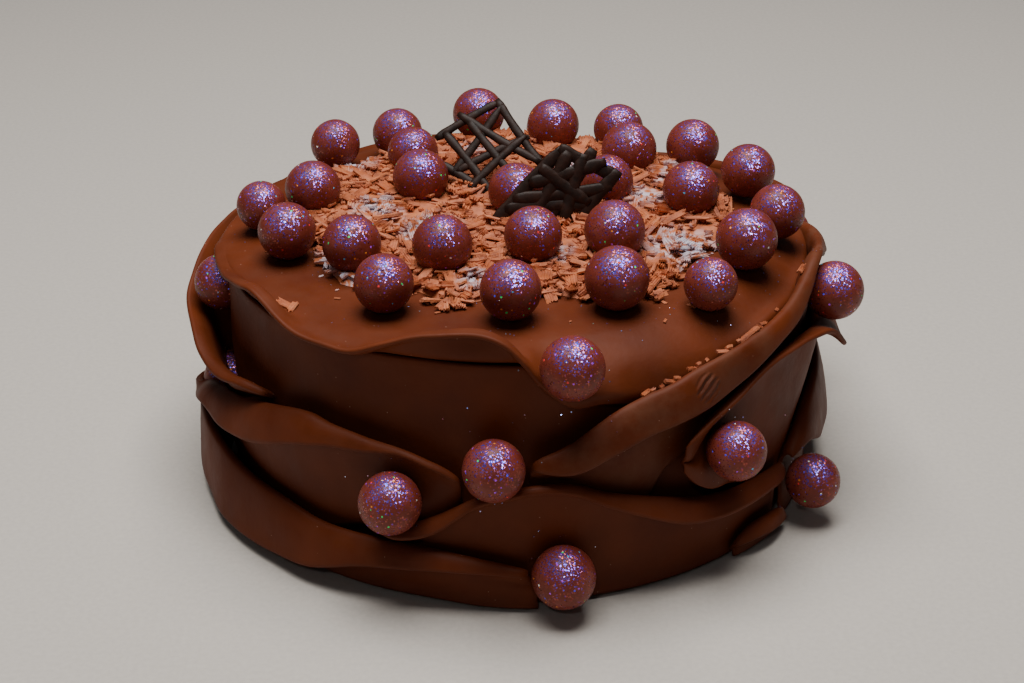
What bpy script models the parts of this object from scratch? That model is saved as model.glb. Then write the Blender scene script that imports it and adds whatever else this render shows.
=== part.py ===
# Chocolate sponge cake wrapped in draped strips of modelling chocolate, with a bed of
# crumbled flaky chocolate, two piped lattices and glittered chocolate balls.
# Blender 4.5, metres, +Z up. The cake rests on z = 0 and its front faces -Y.

import math
import random

import bmesh
import bpy
from mathutils import Matrix, Vector

MM = 0.001

# Driving dimensions, in millimetres
CORE_RADIUS = 102.5
CORE_TOP = 88.8
CORE_FOOT = 107.8  # radius that the coating spreads to where it meets the table
CORE_STEPS = 40
CORE_PROFILE = [
    (0, CORE_TOP), (CORE_RADIUS - 14.5, CORE_TOP), (CORE_RADIUS - 6, CORE_TOP - 3.3),
    (CORE_RADIUS - 1.5, CORE_TOP - 8.8), (CORE_RADIUS, CORE_TOP - 16.8), (CORE_RADIUS, 15),
    (CORE_RADIUS + 2.4, 8.5), (CORE_FOOT - 0.8, 4.5), (CORE_FOOT, 0), (0, 0),
]
SHEET = 2.6  # thickness of the rolled chocolate
CLEAR = 0.45  # air left between pieces that touch
TOP_LEVEL = 92.2  # upper face of the top sheet, where the toppings lie
BALL_SEAT = TOP_LEVEL + 0.4
BED_RADIUS = 80.0
BED_DEPTHS = (1.7, 5.2)  # at the front edge and at the back edge
BED_CORNERS = 36
SLAB = 30.0  # depth of the helper that ends the lattices at the heap
BED_WOBBLE = 5.0  # how far the bed's edge strays in and out
SHARDS = 22
SHARD_RING = (44.0, 74.0)  # nearest and farthest from the middle, clear of the lattices
SHARD_SIZES = ((6, 13), (2.5, 4.5), (1.6, 3))  # least and most length, width and height
SHARD_SINK = 0.4
SHARD_TILT = 0.1
LATTICE_BAR = 2.3  # thickness; the width is given with each lattice
BAR_STAGGER = 0.13  # step in height from one piped bar to the next
RING_STATIONS = 36  # sections in a sheet that closes on itself
STRIP_STATION = 7.0  # degrees between the sections of a strip
SMOOTH_BELOW = math.radians(40)  # edges sharper than this stay sharp

# Strips of the drapery. Each key is (azimuth, foot radius, foot height, crest radius,
# crest height, lip radius, lip height); azimuth 0 is the front, positive to the right.
STRIPS = {
    "right_roll": [
        (3, 107.2, 46, 112.5, 56, 114, 55), (10, 107.2, 40, 112.5, 62, 117.5, 55),
        (17, 107.2, 33, 112.5, 71, 118, 61), (23, 107.2, 30, 113, 76, 118, 65.5),
        (28, 107.2, 43, 113, 78, 118, 67), (33, 107.2, 48, 113, 81, 118, 69),
        (38, 107.2, 53, 113.5, 83, 117.5, 72), (44, 107.2, 57, 113.5, 84.5, 117.5, 76),
        (50, 107.2, 60, 113.5, 86, 117.5, 80.5), (58, 107.2, 62, 113.5, 89, 117, 85),
        (64, 107.2, 54, 113.5, 93, 116.5, 91), (70, 107.2, 50, 113.3, 96.5, 116, 96.5),
        (80, 107.2, 52, 112.6, 91, 114.8, 88.5), (92, 107.2, 52, 113, 86, 117, 80),
        (105, 107.2, 52, 113.5, 80, 119, 73), (130, 107.2, 45, 113.5, 69, 119, 62),
        (150, 107.2, 47, 112.5, 61, 115, 60),
    ],
    "left_roll": [
        (-150, 107.2, 34, 113, 50, 116, 46), (-130, 107.2, 25, 113, 46, 119, 38),
        (-105, 107.2, 16, 113, 33, 117.5, 27), (-84, 107.2, 16, 113, 37, 119.3, 31.5),
        (-73, 107.2, 19, 113, 45, 120, 40), (-66, 107.2, 20, 112.5, 49, 119.8, 42),
        (-56, 107.2, 18, 111.5, 54, 119, 43.5), (-46, 107.2, 16, 111.5, 59.5, 118.5, 48.5),
        (-38, 107.2, 16, 111.5, 62.5, 117.5, 54.5), (-33, 107.2, 20, 111.5, 61, 116, 56.5),
        (-28, 107.2, 23, 111.5, 60, 115, 57), (-20, 107.2, 22, 111.5, 57.5, 114, 58),
        (-13, 107.2, 27, 111.5, 53, 113.7, 53.5), (-9, 107.2, 35, 111.5, 49, 113.2, 49),
    ],
    "right_rim": [
        (29.5, 117.6, 46, 117.8, 53, 118.5, 56.5), (32, 116.8, 40, 116, 54.5, 118.2, 59.5),
        (35.5, 116, 35.5, 114.2, 59, 118, 63), (41, 112.5, 32, 113.5, 65, 118, 68),
        (48, 108.3, 24, 113.5, 70, 118.5, 73.5),
        (55, 108.3, 17, 113.5, 71.5, 119.5, 75.5), (62, 108.3, 16, 114, 71.5, 122, 75.5),
        (66, 108.3, 26, 115.5, 71.5, 124.3, 73.5), (70, 108.3, 31, 117, 71, 126.5, 64.5),
        (75, 108.3, 37, 116, 68, 123, 62), (82, 108.3, 39, 114.5, 66, 119.5, 62.5),
        (95, 108.3, 38, 114, 64, 119, 62),
        (115, 108.3, 39, 114, 60, 119, 57), (130, 108.3, 36, 113.5, 52, 116.5, 50),
    ],
    "front_roll": [
        (-25.5, 108.9, 13, 111.8, 27, 114.5, 28), (-20, 108.9, 13, 112, 28, 117, 27),
        (-13, 108.9, 12, 112, 34, 117, 31),
        (-5, 108.9, 10, 112.5, 43, 115.5, 43), (3, 109.7, 1.5, 113, 47, 115.5, 47),
        (10, 109.7, 1.3, 113, 47, 115.5, 46), (16, 109.7, 1.3, 113, 42, 117.5, 40),
        (24, 109.7, 1.3, 113, 37, 119, 32.5), (32, 109.7, 1.3, 113, 32, 120, 26.5),
        (42, 109.7, 1.3, 113, 28, 119.5, 24.5), (52, 109.7, 1.3, 113, 26, 118, 23.5),
        (58, 109.7, 1.3, 112.8, 25, 115.5, 22.5),
    ],
    "low_roll": [
        (-150, 113.5, 1.3, 114.5, 8, 116, 5), (-140, 111.5, 1.3, 114, 14, 118, 8),
        (-125, 109.7, 1.3, 114, 19, 120, 9), (-100, 109.7, 1.3, 115.5, 25, 120.5, 8),
        (-80, 109.7, 1.3, 117, 30, 120, 7), (-70, 109.7, 1.3, 116.5, 29, 120, 6),
        (-58, 109.7, 1.3, 114.5, 25.5, 120.5, 5), (-45, 109.7, 1.3, 113.5, 24, 120.5, 6),
        (-36, 109.7, 1.3, 114, 22, 120.5, 8), (-27, 109.7, 1.3, 114, 22, 119.5, 14),
        (-15, 110.2, 1.3, 114, 22, 118.5, 17), (-5, 112.8, 1.3, 115, 19, 118.5, 17),
        (4, 114.4, 1.3, 115.8, 15, 117.5, 15),
    ],
    "left_flare": [
        (-168, 107.2, 55, 113, 72, 116, 73), (-150, 107.2, 48, 113.5, 75, 117, 79),
        (-125, 107.2, 44, 114, 76, 116.5, 81), (-105, 107.2, 40, 114, 75, 117, 80),
        (-95, 107.2, 39, 114, 71, 118.5, 77), (-84, 107.2, 38, 114.5, 65, 120, 70),
        (-74, 107.2, 39, 114.2, 61.5, 120, 66), (-67, 107.2, 45, 113.8, 60, 119, 62),
        (-60, 107.2, 52, 113, 60.5, 118, 61.5), (-55, 107.2, 56, 112, 62, 115.5, 62.5),
        (-50.4, 107.2, 58.5, 109.6, 61.5, 111.2, 61),
    ],
    "right_low": [
        (60, 111.4, 1.3, 112.9, 26, 116.5, 25), (66, 110.6, 1.3, 113.2, 33, 118, 27.5),
        (74, 110, 1.3, 113.5, 40, 118.5, 21), (90, 109.7, 1.3, 114, 44, 119, 20),
        (120, 109.7, 1.3, 114, 45, 119.5, 26), (150, 109.7, 1.3, 113.5, 41, 120, 30),
        (180, 109.7, 1.3, 113.5, 36, 119.5, 28), (203, 109.2, 1.3, 113, 29, 118, 24),
        (216, 107.2, 8, 112, 25, 116, 22), (234, 107.2, 11, 111.5, 24, 113.5, 22),
    ],
    "corner_flap": [
        (42.5, 113.6, 1.3, 114.4, 6, 115.5, 5), (47, 113.6, 1.3, 115, 10, 118, 7),
        (52, 113.6, 1.3, 115.5, 10, 118.5, 6.5), (57, 113.6, 1.3, 115.5, 8, 117.5, 5),
    ],
    "back_roll": [
        (112, 107.2, 70, 113.2, 87, 115.5, 88), (128, 107.2, 63, 114.5, 85, 120, 80),
        (150, 107.2, 57, 114.5, 80, 120, 73), (170, 107.2, 51, 114.5, 73, 119, 67),
        (190, 107.2, 57, 113.5, 67, 116, 64),
    ],
    "back_mid": [
        (134, 108.1, 36, 112.5, 53, 114.5, 53), (152, 107.2, 32, 113, 52, 118, 47),
        (175, 107.2, 27, 113, 58, 119, 50), (195, 107.2, 22, 113, 60, 118.5, 53),
        (208, 107.2, 22, 113, 56, 116, 52),
    ],
}
# Lower edge of the sheet that covers the top: (azimuth, radius, height), all the way round
TOP_SHEET_EDGE = [
    (-66, 107, 93.5), (-60, 108.2, 96.5), (-53, 109, 100), (-49, 109, 98),
    (-45, 109, 94.5), (-40, 109, 92), (-35, 109, 91), (-29, 109, 91), (-23, 108, 95.5),
    (-15, 106, 100), (-6, 104.5, 101.5), (-1, 106, 98.5), (3, 108.5, 91), (7, 109, 80.5),
    (11, 109, 75), (16, 108.8, 75), (24, 108.3, 73), (40, 108.2, 77), (60, 108.2, 81),
    (70, 107.9, 80.5), (80, 107.9, 82), (100, 108.2, 82), (125, 108.2, 81), (150, 108.2, 75),
    (175, 108.6, 80), (200, 109, 86), (225, 108.5, 85), (255, 107.5, 84), (280, 106.8, 89),
]
TIP_OF_TOP_LIP = 2.5  # how far the raised parts of that edge flare outward
DEEPEST_SAG = 6.0  # how far the sheet falls over the shoulder before it hangs down
WRAP_SHEET = (104.2, 20, 77, 11.2)  # radius, foot height, head height, extra height under a raised lip

# Glittered balls: (x, y, diameter) resting on the top, (azimuth, radius, height, diameter)
# pressed into the sides
TOP_BALLS = [
    (-69, 59, 19.5), (-45, 69, 20.0), (-38, 49, 19.8), (-34, 22, 21.3), (-74, 13, 20.9),
    (-92, 0, 18.4), (-80, -26, 20.9), (-56, -38, 21.1), (-43, -70, 20.6), (-24, -40, 21.5),
    (-13, 88, 21.1), (17, 75, 20.9), (43, 71, 19.9), (46, 47, 21.6), (2, 8.5, 20.8),
    (36, 17, 20.3), (8, -32, 20.9), (37, -30, 21.9), (36, -70, 22.3), (0, -77, 21.1),
    (71, 51, 20.8), (90, 25, 20.6), (67, 7, 21.2), (97, -11, 20.3), (83, -39, 22.0),
    (68, -68.2, 18.6),
]
SHOULDER_BALLS = {24: 1.1, 26: 1.6}  # how far these lie below the rest, where the sheet falls
SIDE_BALLS = [
    (10, 114.5, 92, 21.6), (-3, 118, 57, 21.2), (-20, 120.2, 42, 21.6), (8, 120.5, 16, 22.0),
    (38.5, 122, 50.5, 20.8), (61.5, 123.2, 16.4, 20.0), (71, 121.5, 83.5, 21.2),
    (-84, 107.4, 76.2, 21.0), (-83, 107, 37, 21.0), (118, 124, 62, 21.0), (146, 124, 24, 21.2),
    (172, 122, 84, 21.0), (-170, 124, 44, 21.4), (-138, 122, 64, 21.0),
]
BALL_SEGMENTS = 10
BALL_RINGS = 6

# Piped lattices: foot (x, y, z), lean from the horizontal, turn about Z, width of the bars,
# and the bars as (u, v, u, v) in the lattice's own plane
LATTICES = {
    "lattice_crossed": (
        (-9, 18, 93.2), 50, -8, 3.1,
        [(-21, 26, 1, 41), (1, 41, 21, 15), (-18, 15, 4, 1), (-14, 12, 2, 39),
         (-12, 13, 13, 27), (-13, 35, 18, 18), (-18, 27, 4, 1), (-9, 32, 12, 9),
         (-7, 6, 12, 27)],
    ),
    "lattice_filled": (
        (-6, -6.5, 96.2), 70, 0, 4.4,
        [(0, 0, 25, 27), (25, 27, 45, 17), (36, 26, 20, 2), (45, 18, 32, 2),
         (5, 5.5, 36, 6.5), (8, 9, 42, 13), (27, 25, 14, 2), (14, 15, 40, 22),
         (26, 2, 33, 24), (18, 20, 34, 8)],
    ),
}


def rgb(code):
    """Linear colour of an sRGB hex code."""
    parts = [int(code[i : i + 2], 16) / 255 for i in (0, 2, 4)]
    return [c / 12.92 if c <= 0.04045 else ((c + 0.055) / 1.055) ** 2.4 for c in parts]


def material(name, code, roughness):
    made = bpy.data.materials.new(name)
    made.use_nodes = True
    shader = made.node_tree.nodes["Principled BSDF"]
    shader.inputs["Base Color"].default_value = (*rgb(code), 1)
    shader.inputs["Roughness"].default_value = roughness
    return made


def add_mesh(name, mesh, where, look):
    made = bpy.data.objects.new(name, mesh)
    mesh.materials.append(look)
    where.objects.link(made)
    return made


def polar(azimuth, radius, height):
    """World point of an azimuth in degrees with a radius and a height in millimetres."""
    turn = math.radians(azimuth)
    return Vector((radius * math.sin(turn), -radius * math.cos(turn), height)) * MM


def along(keys, azimuth):
    """Values at an azimuth, on a smooth curve through the keys."""
    last = len(keys) - 1
    i = max(k for k in range(last) if keys[k][0] <= azimuth + 1e-6)
    a, b = keys[i], keys[i + 1]
    before, after = keys[max(i - 1, 0)], keys[min(i + 2, last)]
    span = b[0] - a[0]
    t = (azimuth - a[0]) / span
    values = []
    for k in range(1, len(a)):
        slope_a = (b[k] - before[k]) / (b[0] - before[0]) * span
        slope_b = (after[k] - a[k]) / (after[0] - a[0]) * span
        values.append(
            (2 * t**3 - 3 * t**2 + 1) * a[k] + (t**3 - 2 * t**2 + t) * slope_a
            + (3 * t**2 - 2 * t**3) * b[k] + (t**3 - t**2) * slope_b
        )
    return values


def strip_section(foot_r, foot_z, crest_r, crest_z, lip_r, lip_z):
    """Middle line of a strip: up from its foot, over the crest and out to its lip."""
    rise = crest_z - foot_z
    neck = min(5, 0.5 * rise)
    swell = min(1.0, (lip_r - crest_r) / 5)
    return [
        (foot_r, foot_z),
        (foot_r + 0.45 * (crest_r - foot_r), foot_z + 0.45 * rise),
        (crest_r - 1.4, crest_z - neck),
        (crest_r + 0.4, crest_z - 0.4),
        (0.5 * (crest_r + lip_r) + 0.6 * swell, 0.5 * (crest_z + lip_z) + 0.8 * swell),
        (lip_r, lip_z),
    ]


def lip_lift(edge_z):
    """How far the top sheet's edge is raised into a lip: 0 hanging down, 1 standing out."""
    return max(0.0, min(1.0, (edge_z - 80) / 12))


def top_section(edge_r, edge_z):
    """Middle line of the top sheet: from the centre, over the shoulder, to its edge."""
    level = TOP_LEVEL - SHEET / 2
    lift = lip_lift(edge_z)
    drop = 1 - lift
    sag = max(0.0, min(DEEPEST_SAG, 0.55 * (level - edge_z)))
    return [
        (0, level),
        (60, level),
        (86, level),
        (95, level - 0.25 * sag),
        (102.8 + 0.2 * sag, level - 0.2 - sag),
        (edge_r - 1.5 * lift, edge_z + 4 * drop - 1.5 * lift),
        (edge_r + TIP_OF_TOP_LIP * lift, edge_z),
    ]


def sheet(name, sections, azimuths, closed, where, look):
    """A strip lofted through one middle line for each azimuth and given its thickness."""
    grid = bmesh.new()
    rows = []
    for azimuth, line in zip(azimuths, sections):
        rows.append([grid.verts.new(polar(azimuth, r, z)) for r, z in line])
    if closed:
        rows.append(rows[0])
    for left, right in zip(rows, rows[1:]):
        for k in range(len(left) - 1):
            grid.faces.new((left[k], right[k], right[k + 1], left[k + 1]))
    bmesh.ops.remove_doubles(grid, verts=grid.verts[:], dist=1e-6)
    bmesh.ops.recalc_face_normals(grid, faces=grid.faces[:])
    mesh = bpy.data.meshes.new(name)
    grid.to_mesh(mesh)
    grid.free()
    mesh.shade_smooth()
    made = add_mesh(name, mesh, where, look)
    thicken = made.modifiers.new("thickness", "SOLIDIFY")
    thicken.thickness = SHEET * MM
    thicken.offset = 0
    return made


def ball_mesh(name, extra=0.0):
    """Sphere of unit diameter plus a margin given as a fraction."""
    made = bmesh.new()
    bmesh.ops.create_uvsphere(
        made, u_segments=BALL_SEGMENTS, v_segments=BALL_RINGS, radius=0.5 + extra
    )
    mesh = bpy.data.meshes.new(name)
    made.to_mesh(mesh)
    made.free()
    mesh.shade_smooth()
    return mesh


def box(name, size, place, where, look):
    """Box of a size in millimetres set by a matrix in metres."""
    made = bmesh.new()
    bmesh.ops.create_cube(made, size=1)
    shape = Matrix.Diagonal((*[s * MM for s in size], 1))
    bmesh.ops.transform(made, matrix=place @ shape, verts=made.verts[:])
    mesh = bpy.data.meshes.new(name)
    made.to_mesh(mesh)
    made.free()
    return add_mesh(name, mesh, where, look)


def boolean(target, other, operation, solver="EXACT"):
    step = target.modifiers.new(operation.lower(), "BOOLEAN")
    step.operation = operation
    step.solver = solver
    if isinstance(other, bpy.types.Collection):
        step.operand_type = "COLLECTION"
        step.collection = other
    else:
        step.object = other
    return step


def apply_modifiers(target):
    """Replaces the object's mesh by its evaluated one."""
    graph = bpy.context.evaluated_depsgraph_get()
    mesh = bpy.data.meshes.new_from_object(target.evaluated_get(graph))
    target.modifiers.clear()
    target.data = mesh
    mesh.set_sharp_from_angle(angle=SMOOTH_BELOW)


def bed_top(y):
    """Height of the heap's upper face at a distance behind the middle."""
    front, back = BED_DEPTHS
    return TOP_LEVEL + CLEAR + front + (back - front) * (y + BED_RADIUS) / (2 * BED_RADIUS)


def remove_collection(group):
    for item in list(group.objects):
        bpy.data.objects.remove(item)
    bpy.data.collections.remove(group)


def helper_collection(name):
    made = bpy.data.collections.new(name)
    bpy.context.scene.collection.children.link(made)
    made.hide_render = True
    return made


for item in list(bpy.data.objects):
    bpy.data.objects.remove(item)

cake_group = bpy.data.collections.new("chocolate_sponge_cake")
bpy.context.scene.collection.children.link(cake_group)
cutters = helper_collection("cutters")

coating = material("coating", "4a2416", 0.45)
drapery = material("drapery", "4f2516", 0.38)
glitter = material("glitter_balls", "5f2c2c", 0.3)
flakes = material("flaky_chocolate", "a05a3c", 0.75)
dark = material("dark_chocolate", "1d120c", 0.35)

# Core: the covered sponge cake, a turned body with a rounded shoulder and a spread foot
profile = bmesh.new()
corners = [profile.verts.new((r * MM, 0, z * MM)) for r, z in CORE_PROFILE]
for pair in zip(corners, corners[1:]):
    profile.edges.new(pair)
core_mesh = bpy.data.meshes.new("cake_core")
profile.to_mesh(core_mesh)
profile.free()
core = add_mesh("cake_core", core_mesh, cake_group, coating)
turned = core.modifiers.new("turned", "SCREW")
turned.steps = turned.render_steps = CORE_STEPS
turned.use_merge_vertices = True
turned.merge_threshold = 1e-5
turned.use_smooth_shade = True
boolean(core, cutters, "DIFFERENCE")

# Balls, with a slightly larger cutter for each
ball_shape = ball_mesh("ball")
cutter_shape = ball_mesh("ball_cutter", 0.021)
ball_shape.materials.append(glitter)
spots = []
for i, (x, y, diameter) in enumerate(TOP_BALLS, 1):
    height = BALL_SEAT + diameter / 2 - SHOULDER_BALLS.get(i, 0)
    spots.append((f"ball_top_{i:02d}", Vector((x, y, height)) * MM, diameter))
for i, (azimuth, radius, height, diameter) in enumerate(SIDE_BALLS, 1):
    spots.append((f"ball_side_{i:02d}", polar(azimuth, radius, height), diameter))
for name, centre, diameter in spots:
    place = Matrix.Translation(centre) @ Matrix.Scale(diameter * MM, 4)
    ball = bpy.data.objects.new(name, ball_shape)
    ball.matrix_world = place
    cake_group.objects.link(ball)
    cutter = bpy.data.objects.new("cut_" + name, cutter_shape)
    cutter.matrix_world = place
    cutter.display_type = "WIRE"
    cutters.objects.link(cutter)

# Drapery: the sheet over the top, the plain wrap below it, then the strips
around = [i * 360 / RING_STATIONS for i in range(RING_STATIONS)]
edge_keys = [(a + lap, r, z) for lap in (-360, 0, 360) for a, r, z in TOP_SHEET_EDGE]
edges = [along(edge_keys, a) for a in around]
top_lines = [top_section(r, z) for r, z in edges]
wrap_r, wrap_foot, wrap_head, wrap_extra = WRAP_SHEET
wrap_lines = [
    [(wrap_r, wrap_foot), (wrap_r, wrap_head + wrap_extra * lip_lift(z))] for r, z in edges
]
pieces = [
    sheet("top_sheet", top_lines, around, True, cake_group, drapery),
    sheet("wrap_sheet", wrap_lines, around, True, cake_group, drapery),
]
for name, keys in STRIPS.items():
    start, end = keys[0][0], keys[-1][0]
    count = max(3, round((end - start) / STRIP_STATION))
    azimuths = [start + (end - start) * i / count for i in range(count + 1)]
    sections = [strip_section(*along(keys, a)) for a in azimuths]
    pieces.append(sheet(name, sections, azimuths, False, cake_group, drapery))
for piece in pieces:
    boolean(piece, cutters, "DIFFERENCE")

# Lattices: piped bars joined into one piece each and ended just above the flakes that they
# stand in. The exact solver leaves open edges where this many bars meet, so the join uses the
# other one
slab = helper_collection("bed_slab")
slope = Matrix.Rotation(math.atan((BED_DEPTHS[1] - BED_DEPTHS[0]) / (2 * BED_RADIUS)), 4, "X")
level = bed_top(0) + CLEAR - SLAB / 2
box("slab", (200, 200, SLAB), Matrix.Translation((0, 0, level * MM)) @ slope, slab, flakes)
for name, (foot, lean, turn, width, bars) in LATTICES.items():
    upright = Matrix.Rotation(math.radians(turn), 4, "Z") @ Matrix.Rotation(math.radians(lean), 4, "X")
    plane = Matrix.Translation(Vector(foot) * MM) @ upright
    joined = helper_collection(name + "_bars")
    for i, (u0, v0, u1, v1) in enumerate(bars):
        length = math.hypot(u1 - u0, v1 - v0)
        middle = Vector(((u0 + u1) / 2, (v0 + v1) / 2, BAR_STAGGER * i)) * MM
        along_bar = Matrix.Rotation(math.atan2(v1 - v0, u1 - u0), 4, "Z")
        place = plane @ Matrix.Translation(middle) @ along_bar
        size = (length + LATTICE_BAR, width, LATTICE_BAR)
        box(f"{name}_bar_{i}", size, place, joined, dark)
    first = joined.objects[0]
    joined.objects.unlink(first)
    cake_group.objects.link(first)
    first.name = name
    boolean(first, joined, "UNION", "MANIFOLD")
    apply_modifiers(first)
    remove_collection(joined)
    boolean(first, slab, "DIFFERENCE")
    boolean(first, cutters, "DIFFERENCE")

# Flake bed: a low uneven heap, deeper at the back, with shards of flaky chocolate lying in it
rng = random.Random(7)
bed = bmesh.new()
rim = []
for i in range(BED_CORNERS):
    radius = BED_RADIUS + rng.uniform(-BED_WOBBLE, BED_WOBBLE)
    rim.append(bed.verts.new(polar(i * 360 / BED_CORNERS, radius, TOP_LEVEL + CLEAR)))
face = bed.faces.new(rim)
raised = bmesh.ops.extrude_face_region(bed, geom=[face])["geom"]
for part in raised:
    if isinstance(part, bmesh.types.BMVert):
        part.co.z = bed_top(part.co.y / MM) * MM
bmesh.ops.recalc_face_normals(bed, faces=bed.faces[:])
bed_mesh = bpy.data.meshes.new("flake_bed")
bed.to_mesh(bed_mesh)
bed.free()
flake_bed = add_mesh("flake_bed", bed_mesh, cake_group, flakes)
shards = helper_collection("shards")
for i in range(SHARDS):
    radius = math.sqrt(rng.uniform(SHARD_RING[0] ** 2, SHARD_RING[1] ** 2))
    spot_azimuth = rng.uniform(0, 360)
    size = [rng.uniform(least, most) for least, most in SHARD_SIZES]
    middle = polar(spot_azimuth, radius, 0)
    middle.z = (bed_top(middle.y / MM) + size[2] / 2 - SHARD_SINK) * MM
    heading = Matrix.Rotation(rng.uniform(0, math.pi), 4, "Z")
    tilt = Matrix.Rotation(rng.uniform(-SHARD_TILT, SHARD_TILT), 4, "Y")
    box(f"shard_{i}", size, Matrix.Translation(middle) @ heading @ tilt, shards, flakes)
boolean(flake_bed, shards, "UNION")
apply_modifiers(flake_bed)
remove_collection(shards)
boolean(flake_bed, cutters, "DIFFERENCE")
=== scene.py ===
import math
import random

import bpy
import numpy as np
from mathutils import Euler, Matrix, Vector, noise
from mathutils.bvhtree import BVHTree


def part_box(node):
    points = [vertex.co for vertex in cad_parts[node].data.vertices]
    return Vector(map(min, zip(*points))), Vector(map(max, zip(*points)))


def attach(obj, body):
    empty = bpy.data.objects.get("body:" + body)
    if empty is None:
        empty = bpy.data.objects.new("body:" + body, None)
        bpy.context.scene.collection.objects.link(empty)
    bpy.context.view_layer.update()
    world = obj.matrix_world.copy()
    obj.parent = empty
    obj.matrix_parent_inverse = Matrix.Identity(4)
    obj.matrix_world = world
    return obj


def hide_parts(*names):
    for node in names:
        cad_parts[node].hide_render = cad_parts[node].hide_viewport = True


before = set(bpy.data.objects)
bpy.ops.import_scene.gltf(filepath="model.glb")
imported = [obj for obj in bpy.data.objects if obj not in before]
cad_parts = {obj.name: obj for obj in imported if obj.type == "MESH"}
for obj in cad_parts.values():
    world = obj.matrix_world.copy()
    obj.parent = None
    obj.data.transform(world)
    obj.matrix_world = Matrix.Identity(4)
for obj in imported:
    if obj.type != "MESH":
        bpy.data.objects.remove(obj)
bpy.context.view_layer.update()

# Covered sponge cake
# Sponge layers levelled into a drum and coated with melted chocolate, which has run down
# and spread at the foot. Only glimpses show between the strips, so the CAD body stays.


def linear(code):
    """Linear colour with alpha from an sRGB hex code."""
    parts = [int(code[i : i + 2], 16) / 255 for i in (0, 2, 4)]
    return [c / 12.92 if c <= 0.04045 else ((c + 0.055) / 1.055) ** 2.4 for c in parts] + [1]


def add(tree, kind, inputs, stops=(), **settings):
    """Adds a shader node. An input is a value, or a pair (node, output) that is linked."""
    made = tree.nodes.new("ShaderNode" + kind)
    for key, value in settings.items():
        setattr(made, key, value)
    for i, (place, code) in enumerate(stops):
        ramp = made.color_ramp.elements
        while i == 0 and len(ramp) > 1:
            ramp.remove(ramp[-1])
        stop = ramp[0] if i == 0 else ramp.new(place)
        stop.position = place
        stop.color = linear(code)
    for key, value in inputs.items():
        if isinstance(value, tuple) and isinstance(value[0], bpy.types.Node):
            tree.links.new(value[0].outputs[value[1]], made.inputs[key])
        else:
            made.inputs[key].default_value = value
    return made


def start_material(name):
    """A new material with its node tree and its shader."""
    made = bpy.data.materials.new(name)
    made.use_nodes = True
    return made, made.node_tree, made.node_tree.nodes["Principled BSDF"]


# Melted chocolate, poured and set: smooth with slow swells and a soft gloss.
poured, tree, shader = start_material("poured milk chocolate")
spot = add(tree, "TexCoord", {})
swell = add(tree, "TexNoise", {"Vector": (spot, "Object"), "Scale": 1 / 0.022, "Detail": 3.0})
tone = add(tree, "ValToRGB", {"Fac": (swell, "Fac")}, stops=[(0.35, "331509"), (0.7, "47200d")])
lumps = add(
    tree, "Bump", {"Height": (swell, "Fac"), "Strength": 0.4, "Distance": 0.0012}
)
tree.links.new(tone.outputs["Color"], shader.inputs["Base Color"])
tree.links.new(lumps.outputs["Normal"], shader.inputs["Normal"])
shader.inputs["Roughness"].default_value = 0.42
shader.inputs["IOR"].default_value = 1.46
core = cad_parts["cake_core"]
core.data.materials.clear()
core.data.materials.append(poured)

# Drapery
# Modelling chocolate rolled to 2.6 mm, cut in long strips and laid round the cake by hand.
# Each strip stands on its foot, leans out and rolls over to a free lip; they overlap like
# petals, and the sheet over the top has the same soft lip on the left.

MM = 0.001  # sizes and places of the pieces are in millimetres
SHEET = 2.6
TOP_LEVEL = 92.2
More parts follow.
